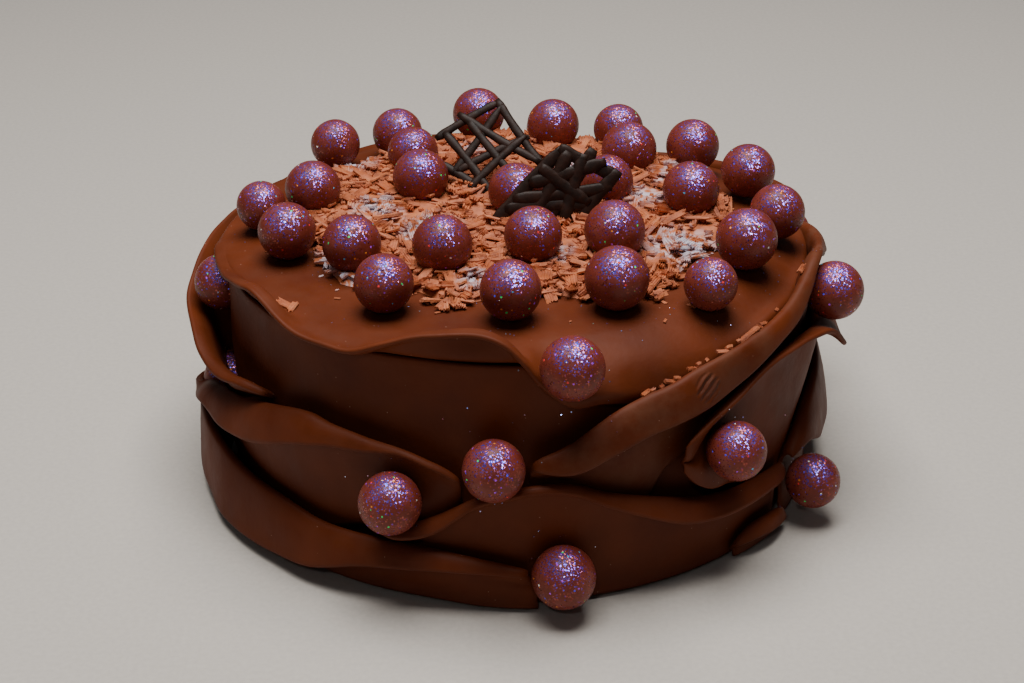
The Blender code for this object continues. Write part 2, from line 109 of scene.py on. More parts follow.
# Keys: (azimuth, foot radius, foot height, crest radius, crest height, lip radius, lip height)
STRIPS = {
    "right_roll": [
        (3, 107.2, 46, 112.5, 56, 114, 55), (10, 107.2, 40, 112.5, 62, 117.5, 55),
        (17, 107.2, 33, 112.5, 71, 118, 61), (23, 107.2, 30, 113, 76, 118, 65.5),
        (28, 107.2, 43, 113, 78, 118, 67), (33, 107.2, 48, 113, 81, 118, 69),
        (38, 107.2, 53, 113.5, 83, 117.5, 72), (44, 107.2, 57, 113.5, 84.5, 117.5, 76),
        (50, 107.2, 60, 113.5, 86, 117.5, 80.5), (58, 107.2, 62, 113.5, 89, 117, 85),
        (64, 107.2, 54, 113.5, 93, 116.5, 91), (70, 107.2, 50, 113.3, 96.5, 116, 96.5),
        (80, 107.2, 52, 112.6, 91, 114.8, 88.5), (92, 107.2, 52, 113, 86, 117, 80),
        (105, 107.2, 52, 113.5, 80, 119, 73), (130, 107.2, 45, 113.5, 69, 119, 62),
        (150, 107.2, 47, 112.5, 61, 115, 60),
    ],
    "left_roll": [
        (-150, 107.2, 34, 113, 50, 116, 46), (-130, 107.2, 25, 113, 46, 119, 38),
        (-105, 107.2, 16, 113, 33, 117.5, 27), (-84, 107.2, 16, 113, 37, 119.3, 31.5),
        (-73, 107.2, 19, 113, 45, 120, 40), (-66, 107.2, 20, 112.5, 49, 119.8, 42),
        (-56, 107.2, 18, 111.5, 54, 119, 43.5), (-46, 107.2, 16, 111.5, 59.5, 118.5, 48.5),
        (-38, 107.2, 16, 111.5, 62.5, 117.5, 54.5), (-33, 107.2, 20, 111.5, 61, 116, 56.5),
        (-28, 107.2, 23, 111.5, 60, 115, 57), (-20, 107.2, 22, 111.5, 57.5, 114, 58),
        (-13, 107.2, 27, 111.5, 53, 113.7, 53.5), (-9, 107.2, 35, 111.5, 49, 113.2, 49),
    ],
    "right_rim": [
        (29.5, 117.6, 46, 117.8, 53, 118.5, 56.5), (32, 116.8, 40, 116, 54.5, 118.2, 59.5),
        (35.5, 116, 35.5, 114.2, 59, 118, 63), (41, 112.5, 32, 113.5, 65, 118, 68),
        (48, 108.3, 24, 113.5, 70, 118.5, 73.5),
        (55, 108.3, 17, 113.5, 71.5, 119.5, 75.5), (62, 108.3, 16, 114, 71.5, 122, 75.5),
        (66, 108.3, 26, 115.5, 71.5, 124.3, 73.5), (70, 108.3, 31, 117, 71, 126.5, 64.5),
        (75, 108.3, 37, 116, 68, 123, 62), (82, 108.3, 39, 114.5, 66, 119.5, 62.5),
        (95, 108.3, 38, 114, 64, 119, 62),
        (115, 108.3, 39, 114, 60, 119, 57), (130, 108.3, 36, 113.5, 52, 116.5, 50),
    ],
    "front_roll": [
        (-25.5, 108.9, 13, 111.8, 27, 114.5, 28), (-20, 108.9, 13, 112, 28, 117, 27),
        (-13, 108.9, 12, 112, 34, 117, 31),
        (-5, 108.9, 10, 112.5, 43, 115.5, 43), (3, 109.7, 1.5, 113, 47, 115.5, 47),
        (10, 109.7, 1.3, 113, 47, 115.5, 46), (16, 109.7, 1.3, 113, 42, 117.5, 40),
        (24, 109.7, 1.3, 113, 37, 119, 32.5), (32, 109.7, 1.3, 113, 32, 120, 26.5),
        (42, 109.7, 1.3, 113, 28, 119.5, 24.5), (52, 109.7, 1.3, 113, 26, 118, 23.5),
        (58, 109.7, 1.3, 112.8, 25, 115.5, 22.5),
    ],
    "low_roll": [
        (-150, 113.5, 1.3, 114.5, 8, 116, 5), (-140, 111.5, 1.3, 114, 14, 118, 8),
        (-125, 109.7, 1.3, 114, 19, 120, 9), (-100, 109.7, 1.3, 115.5, 25, 120.5, 8),
        (-80, 109.7, 1.3, 117, 30, 120, 7), (-70, 109.7, 1.3, 116.5, 29, 120, 6),
        (-58, 109.7, 1.3, 114.5, 25.5, 120.5, 5), (-45, 109.7, 1.3, 113.5, 24, 120.5, 6),
        (-36, 109.7, 1.3, 114, 22, 120.5, 8), (-27, 109.7, 1.3, 114, 22, 119.5, 14),
        (-15, 110.2, 1.3, 114, 22, 118.5, 17), (-5, 112.8, 1.3, 115, 19, 118.5, 17),
        (4, 114.4, 1.3, 115.8, 15, 117.5, 15),
    ],
    "left_flare": [
        (-168, 107.2, 55, 113, 72, 116, 73), (-150, 107.2, 48, 113.5, 75, 117, 79),
        (-125, 107.2, 44, 114, 76, 116.5, 81), (-105, 107.2, 40, 114, 75, 117, 80),
        (-95, 107.2, 39, 114, 71, 118.5, 77), (-84, 107.2, 38, 114.5, 65, 120, 70),
        (-74, 107.2, 39, 114.2, 61.5, 120, 66), (-67, 107.2, 45, 113.8, 60, 119, 62),
        (-60, 107.2, 52, 113, 60.5, 118, 61.5), (-55, 107.2, 56, 112, 62, 115.5, 62.5),
        (-50.4, 107.2, 58.5, 109.6, 61.5, 111.2, 61),
    ],
    "right_low": [
        (60, 111.4, 1.3, 112.9, 26, 116.5, 25), (66, 110.6, 1.3, 113.2, 33, 118, 27.5),
        (74, 110, 1.3, 113.5, 40, 118.5, 21), (90, 109.7, 1.3, 114, 44, 119, 20),
        (120, 109.7, 1.3, 114, 45, 119.5, 26), (150, 109.7, 1.3, 113.5, 41, 120, 30),
        (180, 109.7, 1.3, 113.5, 36, 119.5, 28), (203, 109.2, 1.3, 113, 29, 118, 24),
        (216, 107.2, 8, 112, 25, 116, 22), (234, 107.2, 11, 111.5, 24, 113.5, 22),
    ],
    "corner_flap": [
        (42.5, 113.6, 1.3, 114.4, 6, 115.5, 5), (47, 113.6, 1.3, 115, 10, 118, 7),
        (52, 113.6, 1.3, 115.5, 10, 118.5, 6.5), (57, 113.6, 1.3, 115.5, 8, 117.5, 5),
    ],
    "back_roll": [
        (112, 107.2, 70, 113.2, 87, 115.5, 88), (128, 107.2, 63, 114.5, 85, 120, 80),
        (150, 107.2, 57, 114.5, 80, 120, 73), (170, 107.2, 51, 114.5, 73, 119, 67),
        (190, 107.2, 57, 113.5, 67, 116, 64),
    ],
    "back_mid": [
        (134, 108.1, 36, 112.5, 53, 114.5, 53), (152, 107.2, 32, 113, 52, 118, 47),
        (175, 107.2, 27, 113, 58, 119, 50), (195, 107.2, 22, 113, 60, 118.5, 53),
        (208, 107.2, 22, 113, 56, 116, 52),
    ],
}
TOP_SHEET_EDGE = [
    (-66, 107, 93.5), (-60, 108.2, 96.5), (-53, 109, 100), (-49, 109, 98),
    (-45, 109, 94.5), (-40, 109, 92), (-35, 109, 91), (-29, 109, 91), (-23, 108, 95.5),
    (-15, 106, 100), (-6, 104.5, 101.5), (-1, 106, 98.5), (3, 108.5, 91), (7, 109, 80.5),
    (11, 109, 75), (16, 108.8, 75), (24, 108.3, 73), (40, 108.2, 77), (60, 108.2, 81),
    (70, 107.9, 80.5), (80, 107.9, 82), (100, 108.2, 82), (125, 108.2, 81), (150, 108.2, 75),
    (175, 108.6, 80), (200, 109, 86), (225, 108.5, 85), (255, 107.5, 84), (280, 106.8, 89),
]
TIP_OF_TOP_LIP = 2.5
DEEPEST_SAG = 6.0  # how far the top sheet droops at its shoulder before it falls
WRAP_SHEET = (104.2, 20, 77, 11.2)  # radius, foot, head, and how much higher it goes behind a lip


def along(keys, azimuth):
    """Values at an azimuth, on a smooth curve through the keys."""
    last = len(keys) - 1
    i = max(k for k in range(last) if keys[k][0] <= azimuth + 1e-6)
    a, b = keys[i], keys[i + 1]
    before, after = keys[max(i - 1, 0)], keys[min(i + 2, last)]
    span = b[0] - a[0]
    t = (azimuth - a[0]) / span
    values = []
    for k in range(1, len(a)):
        slope_a = (b[k] - before[k]) / (b[0] - before[0]) * span
        slope_b = (after[k] - a[k]) / (after[0] - a[0]) * span
        values.append(
            (2 * t**3 - 3 * t**2 + 1) * a[k] + (t**3 - 2 * t**2 + t) * slope_a
            + (3 * t**2 - 2 * t**3) * b[k] + (t**3 - t**2) * slope_b
        )
    return values


def strip_section(foot_r, foot_z, crest_r, crest_z, lip_r, lip_z):
    """Middle line of a strip: up from its foot, bending over at the crest, and out to its lip."""
    rise = crest_z - foot_z
    neck = min(5, 0.5 * rise)
    swell = min(1.0, (lip_r - crest_r) / 5)
    return [
        (foot_r, foot_z),
        (foot_r + 0.45 * (crest_r - foot_r), foot_z + 0.45 * rise),
        (crest_r - 1.4, crest_z - neck),
        (crest_r + 0.4, crest_z - 0.4),
        (0.5 * (crest_r + lip_r) + 0.6 * swell, 0.5 * (crest_z + lip_z) + 0.8 * swell),
        (lip_r, lip_z),
    ]


def lip_lift(edge_z):
    """How far the top sheet's edge is raised into a lip: 0 hanging down, 1 standing out."""
    return max(0.0, min(1.0, (edge_z - 80) / 12))


def top_section(edge_r, edge_z):
    """Middle line of the top sheet: from near the centre, over the shoulder, to its edge."""
    level = TOP_LEVEL - SHEET / 2
    lift = lip_lift(edge_z)
    drop = 1 - lift
    sag = max(0.0, min(DEEPEST_SAG, 0.55 * (level - edge_z)))
    return [
        (1, level),
        (60, level),
        (86, level),
        (95, level - 0.25 * sag),
        (102.8 + 0.2 * sag, level - 0.2 - sag),
        (edge_r - 1.5 * lift, edge_z + 4 * drop - 1.5 * lift),
        (edge_r + TIP_OF_TOP_LIP * lift, edge_z),
    ]


def curve_through(points, counts):
    """Smooth curve through the points, with a given number of steps in each span."""
    given = np.array(points, float)
    ends = np.vstack([2 * given[0] - given[1], given, 2 * given[-1] - given[-2]])
    line = []
    for i, steps in enumerate(counts):
        a, b, c, d = ends[i : i + 4]
        for t in np.arange(steps) / steps:
            line.append(
                0.5 * (2 * b + (c - a) * t + (2 * a - 5 * b + 4 * c - d) * t**2
                + (3 * b - a - 3 * c + d) * t**3)
            )
    line.append(given[-1])
    return np.array(line)


def polar(azimuth, radius, height):
    """Point in millimetres of an azimuth in degrees (0 front, positive right)."""
    turn = np.radians(azimuth)
    return np.stack(np.broadcast_arrays(radius * np.sin(turn), -radius * np.cos(turn), height), -1)


def node_ball(name):
    """Centre and diameter, in millimetres, of a ball's CAD node."""
    low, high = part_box(name)
    return (np.array(low) + np.array(high)) / 2 / MM, (high[2] - low[2]) / MM


side_balls = [node_ball(f"ball_side_{i:02d}") for i in range(1, 15)]
top_balls = [node_ball(f"ball_top_{i:02d}") for i in range(1, 27)]


def press(points, gap=0.3, softness=8):
    """Dents the middle of a sheet away from the balls that are pressed into it."""
    for centre, diameter in side_balls:
        away = points - centre
        distance = np.maximum(np.linalg.norm(away, axis=-1, keepdims=True), 0.5)
        reach = diameter / 2 + SHEET / 2 + gap
        wanted = (distance**softness + reach**softness) ** (1 / softness)
        points = centre + away / distance * np.where(distance < 2 * reach, wanted, distance)
    return points


def ripple(points, size, seed):
    """Smooth random values from -1 to 1 over points in millimetres."""
    flat = points.reshape(-1, 3) / size + seed
    values = np.array([noise.noise(Vector(p)) for p in flat])
    return values.reshape(points.shape[:-1])


def mesh_from(name, verts, faces, look, smooth=True):
    """Object from vertices in millimetres."""
    mesh = bpy.data.meshes.new(name)
    mesh.from_pydata((np.asarray(verts) * MM).tolist(), [], faces)
    mesh.validate()
    if smooth:
        mesh.shade_smooth()
    mesh.materials.append(look)
    made = bpy.data.objects.new(name, mesh)
    bpy.context.scene.collection.objects.link(made)
    return made


def fit(piece, node):
    """Hangs the piece under the root body and hides the CAD node that it stands for."""
    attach(piece, "root")
    if node:
        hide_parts(node)


# What hands leave in a rolled sheet, as size across and depth: swells all over, waves and
# lifts that grow towards the lip. Over its last steps the edge is pressed thinner.
SWELLS = (34, 0.45)
WAVES = (16, 0.7)
LIFTS = (21, 0.8)
EDGE_THINNING = 0.28
EDGE_STEPS = 8


def rolled(name, middle, closed, look, seed, flutter_from):
    """Sheet of chocolate round a grid of middle points (station, step), with a rounded lip."""
    stations, steps = middle.shape[:2]
    share = np.clip((np.arange(steps) - flutter_from) / (steps - 1 - flutter_from), 0, 1)
    outward = middle * (1, 1, 0)
    outward /= np.maximum(np.linalg.norm(outward, axis=-1, keepdims=True), 1)
    waves = ripple(middle, WAVES[0], seed)[..., None]
    slow = ripple(middle, SWELLS[0], seed + 20)[..., None]
    middle = middle + outward * (SWELLS[1] * slow + WAVES[1] * waves * share[None, :, None])
    middle[..., 2] += LIFTS[1] * share * ripple(middle, LIFTS[0], seed + 40)
    middle = press(middle)
    up = np.gradient(middle, axis=1)
    if closed:
        side = np.roll(middle, -1, 0) - np.roll(middle, 1, 0)
    else:
        side = np.gradient(middle, axis=0)
    normal = np.cross(side, up)
    normal /= np.maximum(np.linalg.norm(normal, axis=-1, keepdims=True), 1e-9)
    up /= np.maximum(np.linalg.norm(up, axis=-1, keepdims=True), 1e-9)
    half = np.full((stations, steps, 1), SHEET / 2)
    to_edge = np.clip((np.arange(steps) - (steps - EDGE_STEPS)) / (EDGE_STEPS - 1), 0, 1)
    half *= (1 - EDGE_THINNING * to_edge)[None, :, None]
    if not closed:
        taper = np.minimum(np.arange(stations), np.arange(stations)[::-1])
        half *= np.interp(taper, [0, 1, 2, 4], [0.35, 0.75, 0.92, 1])[:, None, None]
    outer, inner = middle + normal * half, middle - normal * half
    tip, thick = middle[:, -1:], half[:, -1:]
    arc = [
        tip + up[:, -1:] * thick * math.sin(a) + normal[:, -1:] * thick * math.cos(a)
        for a in (math.pi / 4, math.pi / 2, 3 * math.pi / 4)
    ]
    loop = np.concatenate([outer, *arc, inner[:, ::-1]], axis=1)
    ring = loop.shape[1]
    faces = []
    for s in range(stations if closed else stations - 1):
        a, b = s * ring, (s + 1) % stations * ring
        for k in range(ring):
            n = (k + 1) % ring
            faces.append((a + k, b + k, b + n, a + n))
    if not closed:
        for start, flip in ((0, 1), ((stations - 1) * ring, -1)):
            for k in range(ring // 2):
                quad = (start + k, start + k + 1, start + ring - 2 - k, start + ring - 1 - k)
                faces.append(tuple(dict.fromkeys(quad))[::flip])
    return mesh_from(name, loop.reshape(-1, 3), faces, look)


# Finger marks on the right roll: where it was pinched, in metres, and how fast their pattern
# turns along each axis, which puts them 2.6 mm apart and slants them up to the right
PINCHED = (0.0649, -0.0962, 0.0755)
MARKS = (-1290.0, -870.0, 1860.0)


def rolled_chocolate(name, bloom, pinch):
    """Modelling chocolate with a share of grey bloom and a depth of finger marks, in metres."""
    made, tree, shader = start_material(name)
    spot = add(tree, "TexCoord", {})
    cloud = add(
        tree, "TexNoise", {"Vector": (spot, "Object"), "Scale": 1 / 0.03, "Detail": 4.0}
    )
    brown = add(
        tree, "ValToRGB", {"Fac": (cloud, "Fac")},
        stops=[(0.3, "522211"), (0.5, "5c2812"), (0.72, "682f17")],
    )
    haze = add(
        tree, "TexNoise",
        {"Vector": (spot, "Object"), "Scale": 1 / 0.011, "Detail": 5.0, "Roughness": 0.65},
    )
    amount = add(
        tree, "MapRange",
        {"Value": (haze, "Fac"), "From Min": 0.42, "From Max": 0.72, "To Max": bloom},
    )
    dull = add(
        tree, "Mix",
        {0: (amount, "Result"), 6: (brown, "Color"), 7: linear("66402f")},
        data_type="RGBA",
    )
    # Loose sugar and cocoa dust, 0.2 mm, drawn at 0.4 mm so that it shows
    dust = add(tree, "TexVoronoi", {"Vector": (spot, "Object"), "Scale": 1 / 0.0022})
    near = add(
        tree, "MapRange",
        {"Value": (dust, "Distance"), "From Min": 0.06, "From Max": 0.11, "To Min": 1.0, "To Max": 0.0},
    )
    pick = add(tree, "SeparateColor", {"Color": (dust, "Color")})
    few = add(tree, "Math", {0: (pick, "Red"), 1: 0.06 + 0.1 * bloom}, operation="LESS_THAN")
    specks = add(tree, "Math", {0: (near, "Result"), 1: (few, "Value")}, operation="MULTIPLY")
    pale = add(tree, "Math", {0: (specks, "Value"), 1: 0.55}, operation="MULTIPLY")
    colour = add(
        tree, "Mix", {0: (pale, "Value"), 6: (dull, 2), 7: linear("b58d7c")}, data_type="RGBA"
    )
    grain = add(
        tree, "TexNoise", {"Vector": (spot, "Object"), "Scale": 1 / 0.0014, "Detail": 3.0}
    )
    palm = add(
        tree, "TexNoise", {"Vector": (spot, "Object"), "Scale": 1 / 0.009, "Detail": 2.0}
    )
    coarse = add(
        tree, "Bump", {"Height": (palm, "Fac"), "Strength": 0.45, "Distance": 0.0008}
    )
    fine = add(
        tree, "Bump",
        {"Height": (grain, "Fac"), "Strength": 0.3, "Distance": 0.0002, "Normal": (coarse, "Normal")},
    )
    reach = add(tree, "VectorMath", {0: (spot, "Object"), 1: PINCHED}, operation="DISTANCE")
    there = add(
        tree, "MapRange",
        {"Value": (reach, "Value"), "From Min": 0.003, "From Max": 0.0055, "To Min": 1.0, "To Max": 0.0},
    )
    slant = add(tree, "VectorMath", {0: (spot, "Object"), 1: MARKS}, operation="DOT_PRODUCT")
    uneven = add(tree, "Math", {0: (palm, "Fac"), 1: 7.0, 2: (slant, "Value")}, operation="MULTIPLY_ADD")
    wave = add(tree, "Math", {0: (uneven, "Value")}, operation="SINE")
    nick = add(tree, "Math", {0: (wave, "Value"), 1: (there, "Result")}, operation="MULTIPLY")
    nicked = add(
        tree, "Bump",
        {"Height": (nick, "Value"), "Distance": pinch, "Normal": (fine, "Normal")},
    )
    sheen = add(
        tree, "MapRange",
        {"Value": (haze, "Fac"), "From Min": 0.3, "From Max": 0.7, "To Min": 0.48, "To Max": 0.62},
    )
    tree.links.new(colour.outputs[2], shader.inputs["Base Color"])
    tree.links.new(sheen.outputs["Result"], shader.inputs["Roughness"])
    tree.links.new(nicked.outputs["Normal"], shader.inputs["Normal"])
    shader.inputs["IOR"].default_value = 1.46
    shader.inputs["Specular IOR Level"].default_value = 0.15  # its dry face reflects less
    return made


# Modelling chocolate, kneaded and rolled out: satin, warm brown, with a fine grain and a faint
# grey bloom. The roll at the right has more grey mixed over its face and keeps finger marks.
satin = rolled_chocolate("rolled modelling chocolate", 0.15, 0.0)
handled = rolled_chocolate("handled modelling chocolate", 0.6, 0.0006)

STEP = 1.0  # degrees between the sections of a sheet
ON_THE_TABLE = 3  # a strip with its foot below this height stands on the table
SPREAD, SPREAD_HEIGHT = 1.4, 6  # and spreads this far there, from this height down
edge_keys = [(a + lap, r, z) for lap in (-360, 0, 360) for a, r, z in TOP_SHEET_EDGE]
around = np.arange(0, 360, STEP)
edges = [along(edge_keys, a) for a in around]
top_lines = np.array([curve_through(top_section(r, z), (8, 8, 8, 8, 8, 8)) for r, z in edges])
top_middle = polar(around[:, None], top_lines[..., 0], top_lines[..., 1])
sheets = [rolled("rolled_top_sheet", top_middle, True, satin, 3, 34)]
fit(sheets[0], "top_sheet")
wrap_r, wrap_foot, wrap_head, wrap_extra = WRAP_SHEET
wrap_lines = np.array([
    curve_through(
        [(wrap_r, wrap_foot), (wrap_r, 50), (wrap_r, wrap_head + wrap_extra * lip_lift(z))], (18, 18)
    )
    for r, z in edges
])
wrap_middle = polar(around[:, None], wrap_lines[..., 0], wrap_lines[..., 1])
sheets.append(rolled("rolled_wrap_sheet", wrap_middle, True, satin, 5, 36.5))
fit(sheets[1], "wrap_sheet")
for seed, (name, keys) in enumerate(STRIPS.items(), 11):
    start, end = keys[0][0], keys[-1][0]
    stations = np.linspace(start, end, round((end - start) / STEP) + 1)
    lines = []
    for azimuth in stations:
        foot_r, foot_z, crest_r, crest_z, lip_r, lip_z = along(keys, azimuth)
        line = curve_through(
            strip_section(foot_r, foot_z, crest_r, crest_z, lip_r, lip_z), (12, 10, 8, 8, 6)
        )
        if foot_z < ON_THE_TABLE:
            line[:, 0] += SPREAD * np.clip(1 - (line[:, 1] - foot_z) / SPREAD_HEIGHT, 0, 1) ** 2
        lines.append(line)
    lines = np.array(lines)
    middle = polar(stations[:, None], lines[..., 0], lines[..., 1])
    look = handled if name == "right_roll" else satin
    sheets.append(rolled("rolled_" + name, middle, False, look, seed, 24))
    fit(sheets[-1], name)

# Flaky chocolate
# Crumbled flaky milk chocolate, heaped inside the ring of balls: dry splinters with
# ridges along their length, over finer crumb, with some strewn outside the heap.

# Edge of the heap: (azimuth, radius)
BED_EDGE = [
    (-65, 73), (-49, 76), (-40, 70), (-30, 64), (-21, 68), (-16, 70), (-11, 65), (-4, 60),
    (8, 60), (16, 61), (21, 68), (33, 69), (39, 81), (46, 76), (61, 72), (72, 74), (82, 82),
    (100, 80), (120, 82), (145, 80), (170, 82), (195, 80), (220, 78), (240, 80), (265, 76),
    (280, 74),
]
DUST_LEVEL = 95  # the height at which lustre dust fell on the heap
# Where it fell: (x, y, radius)
DUSTED = [(-61, 50, 13), (-30, -13, 15), (-70, -37, 12), (62, -28, 18), (50, 14, 12), (-12, -54, 9),
          (24, 42, 13), (-50, 6, 12), (64, 34, 13), (-14, 60, 11), (16, -32, 9), (-58, -48, 9)]

# Flaky milk chocolate, extruded in thin folded sheets and crumbled: matt, pale orange
# brown, streaked along the grain, with blue-white lustre dust in places.
flaky, tree, shader = start_material("crumbled flaky chocolate")
spot = add(tree, "TexCoord", {})
patchy = add(tree, "TexNoise", {"Vector": (spot, "Object"), "Scale": 1 / 0.006, "Detail": 4.0})
tan = add(
    tree, "ValToRGB", {"Fac": (patchy, "Fac")},
    stops=[(0.25, "7a3a20"), (0.42, "a5582f"), (0.58, "bc6a40"), (0.78, "cd8354")],
)
streak = add(tree, "TexNoise", {"Vector": (spot, "Object"), "Scale": 1 / 0.0007, "Detail": 2.0})
ridged = add(tree, "Bump", {"Height": (streak, "Fac"), "Strength": 0.6, "Distance": 0.0003})
fallen = None
for x, y, radius in DUSTED:
    gap = add(
        tree, "VectorMath",
        {0: (spot, "Object"), 1: (x * MM, y * MM, DUST_LEVEL * MM)}, operation="DISTANCE",
    )
    here = add(
        tree, "MapRange",
        {"Value": (gap, "Value"), "From Min": 0.2 * radius * MM, "From Max": radius * MM,
         "To Min": 1.0, "To Max": 0.04},
    )
    if fallen:
        here = add(
            tree, "Math",
            {0: (fallen, fallen.outputs[0].name), 1: (here, "Result")}, operation="MAXIMUM",
        )
    fallen = here
fleck = add(tree, "TexNoise", {"Vector": (spot, "Object"), "Scale": 1 / 0.0034, "Detail": 5.0})
sift = add(
    tree, "MapRange", {"Value": (fleck, "Fac"), "From Min": 0.42, "From Max": 0.56, "To Max": 0.9}
)
dust_and_sheen_veil = add(tree, "Math", {0: (fallen, "Value"), 1: (sift, "Result")}, operation="MULTIPLY")
dusty = add(
    tree, "Mix", {0: (dust_and_sheen_veil, "Value"), 6: (tan, "Color"), 7: linear("d0d1e0")}, data_type="RGBA"
)
tree.links.new(dusty.outputs[2], shader.inputs["Base Color"])
tree.links.new(ridged.outputs["Normal"], shader.inputs["Normal"])
shader.inputs["Roughness"].default_value = 0.72
shader.inputs["IOR"].default_value = 1.46

rng = random.Random(19)
THIN, DEEPER = 1.9, 3.4  # depth of the crumb at the front, and what the back adds
FRONT, BACK = -70, 50  # where that depth starts and stops growing
LUMPS, LUMP_SIZE = 1.3, 9
SLOPE = 7  # width of the falling edge
SPLINTERS = 1700


def bed_height(x, y, radius, limit):
    """Height of the crumb under the splinters: deeper at the back, falling to the edge."""
    swell = noise.noise(Vector((x / LUMP_SIZE, y / LUMP_SIZE, 3)))
    depth = THIN + DEEPER * min(1, max(0, (y - FRONT) / (BACK - FRONT))) + LUMPS * swell
    return TOP_LEVEL + 0.3 + depth * min(1, max(0, (limit - radius) / SLOPE)) ** 0.6


def splinter(length, width, height):
    """Vertices and faces of one splinter lying along X, ridged along its length."""
    columns = 2 * max(2, round(width / 0.9)) + 1
    across = np.linspace(-width / 2, width / 2, columns)
    ridge = np.array([(0.5 if k % 2 else 0) + rng.uniform(-0.12, 0.12) for k in range(columns)])
    torn = [[rng.uniform(-0.14, 0.14) * length for _ in across] for _ in range(2)]
    verts = []
    for row, along_x in enumerate((-0.5, 0, 0.5)):
        rise = height * rng.uniform(0.75, 1.0)
        ends = torn[row // 2] if row != 1 else [0] * columns
        for k in range(columns):
            x = along_x * length + ends[k]
            verts.append((x, across[k], rise * (0.62 + 0.38 * ridge[k] * 2)))
        for k in reversed(range(columns)):
            x = along_x * length + ends[k] * 0.8
            verts.append((x, across[k] * 0.92, rise * 0.18 * rng.uniform(0, 1)))
    ring = 2 * columns
    faces = [
        (r * ring + k, r * ring + (k + 1) % ring, (r + 1) * ring + (k + 1) % ring, (r + 1) * ring + k)
        for r in range(2) for k in range(ring)
    ]
    for start, flip in ((0, -1), (2 * ring, 1)):
        for k in range(columns - 1):
            quad = (start + k, start + k + 1, start + ring - 2 - k, start + ring - 1 - k)
            faces.append(quad[::flip])
    return np.array(verts), faces


def strew(places):
    """Joined splinters, each given by its middle, turn, tilts and size."""
    verts, faces, count = [], [], 0
    for middle, turn, size in places:
        shape, sides = splinter(*size)
        spin = np.array(Euler(turn).to_matrix())
        verts.append(shape @ spin.T + middle)
        faces += [tuple(v + count for v in side) for side in sides]
        count += len(shape)
    return np.concatenate(verts), faces


def clear_of_balls(x, y, share=0.75):
    """Whether a point on the top keeps this share of its radius from every ball's centre."""
    return all(
        math.hypot(x - c[0], y - c[1]) > share * d / 2 for c, d in top_balls
    )


edge_ring = [(a + lap, r) for lap in (-360, 0, 360) for a, r in BED_EDGE]
rings, spokes = 26, 120
verts, faces = [], []
for s in range(spokes):
    azimuth = s * 360 / spokes
    limit = along(edge_ring, azimuth)[0] + 2.5 * noise.noise(Vector((s * 0.9, 0, 8)))
    for k in range(rings):
        radius = limit * (k + 0.2) / (rings - 0.8)
        x, y, _ = polar(azimuth, radius, 0)
        verts.append((x, y, bed_height(x, y, radius, limit)))
    x, y, _ = polar(azimuth, limit, 0)
    verts.append((x, y, TOP_LEVEL + 0.05))
row = rings + 1
for s in range(spokes):
    n = (s + 1) % spokes
    faces += [(s * row + k, s * row + k + 1, n * row + k + 1, n * row + k) for k in range(rings)]
faces.append(tuple(s * row for s in range(spokes)))
faces.append(tuple(s * row + rings for s in reversed(range(spokes))))
crumb = mesh_from("flake_crumb", verts, faces, flaky, smooth=False)
fit(crumb, "flake_bed")

places = []
while len(places) < SPLINTERS:
    azimuth = rng.uniform(0, 360)
    limit = along(edge_ring, azimuth)[0] + 3
    radius = limit * math.sqrt(rng.random())
    x, y, _ = polar(azimuth, radius, 0)
    if not clear_of_balls(x, y):
        continue
    length = min(10, 1.9 + rng.expovariate(1 / 2.7))
    size = (length, min(4.2, 0.9 + length * rng.uniform(0.25, 0.55)), rng.uniform(0.8, 1.8))
    lift = rng.uniform(-0.6, 2.0) * (1 if radius < limit - 8 else 0.2)
    turn = (rng.gauss(0, 0.32), rng.gauss(0, 0.24), rng.uniform(0, 6.3))
    places.append(((x, y, bed_height(x, y, radius, limit) + lift), turn, size))
verts, faces = strew(places)
heap = mesh_from("flake_splinters", verts, faces, flaky, smooth=False)
fit(heap, "flake_bed")

# Piped lattices
# Melted dark chocolate piped in crossing lines on paper, set, lifted off and leant in the
# flakes. The lines are rounded and a little uneven, and swell just before their blunt ends.

# Foot (x, y, z), lean from the horizontal, turn about the vertical, width of a line, and the
# lines as (u, v, u, v) in the lattice's own plane
LATTICES = {
    "lattice_crossed": (
        (-9, 18, 93.2), 50, -8, 3.3,
        [(-21, 26, 1, 41), (1, 41, 21, 15), (-18, 15, 4, 1), (-14, 12, 2, 39),
         (-12, 13, 13, 27), (-13, 35, 18, 18), (-18, 27, 4, 1), (-9, 32, 12, 9),
         (-7, 6, 12, 27)],
    ),
    "lattice_filled": (
        (-6, -6.5, 96.2), 70, 0, 4.8,
        [(0, 0, 25, 27), (25, 27, 45, 17), (36, 26, 20, 2), (45, 18, 32, 2),
         (5, 5.5, 36, 6.5), (8, 9, 42, 13), (27, 25, 14, 2), (14, 15, 40, 22),
         (26, 2, 33, 24), (18, 20, 34, 8)],
    ),
}

# Dark chocolate, melted, piped and set: near black, smooth, with a low gloss.
piped, tree, shader = start_material("piped dark chocolate")
spot = add(tree, "TexCoord", {})
set_marks = add(tree, "TexNoise", {"Vector": (spot, "Object"), "Scale": 1 / 0.003, "Detail": 3.0})
dark = add(tree, "ValToRGB", {"Fac": (set_marks, "Fac")}, stops=[(0.35, "1c0f0a"), (0.7, "2e1911")])
ropy = add(tree, "Bump", {"Height": (set_marks, "Fac"), "Strength": 0.5, "Distance": 0.0004})
tree.links.new(dark.outputs["Color"], shader.inputs["Base Color"])
tree.links.new(ropy.outputs["Normal"], shader.inputs["Normal"])
shader.inputs["Roughness"].default_value = 0.5
shader.inputs["IOR"].default_value = 1.46
shader.inputs["Specular IOR Level"].default_value = 0.25  # fat in it dulls the shine

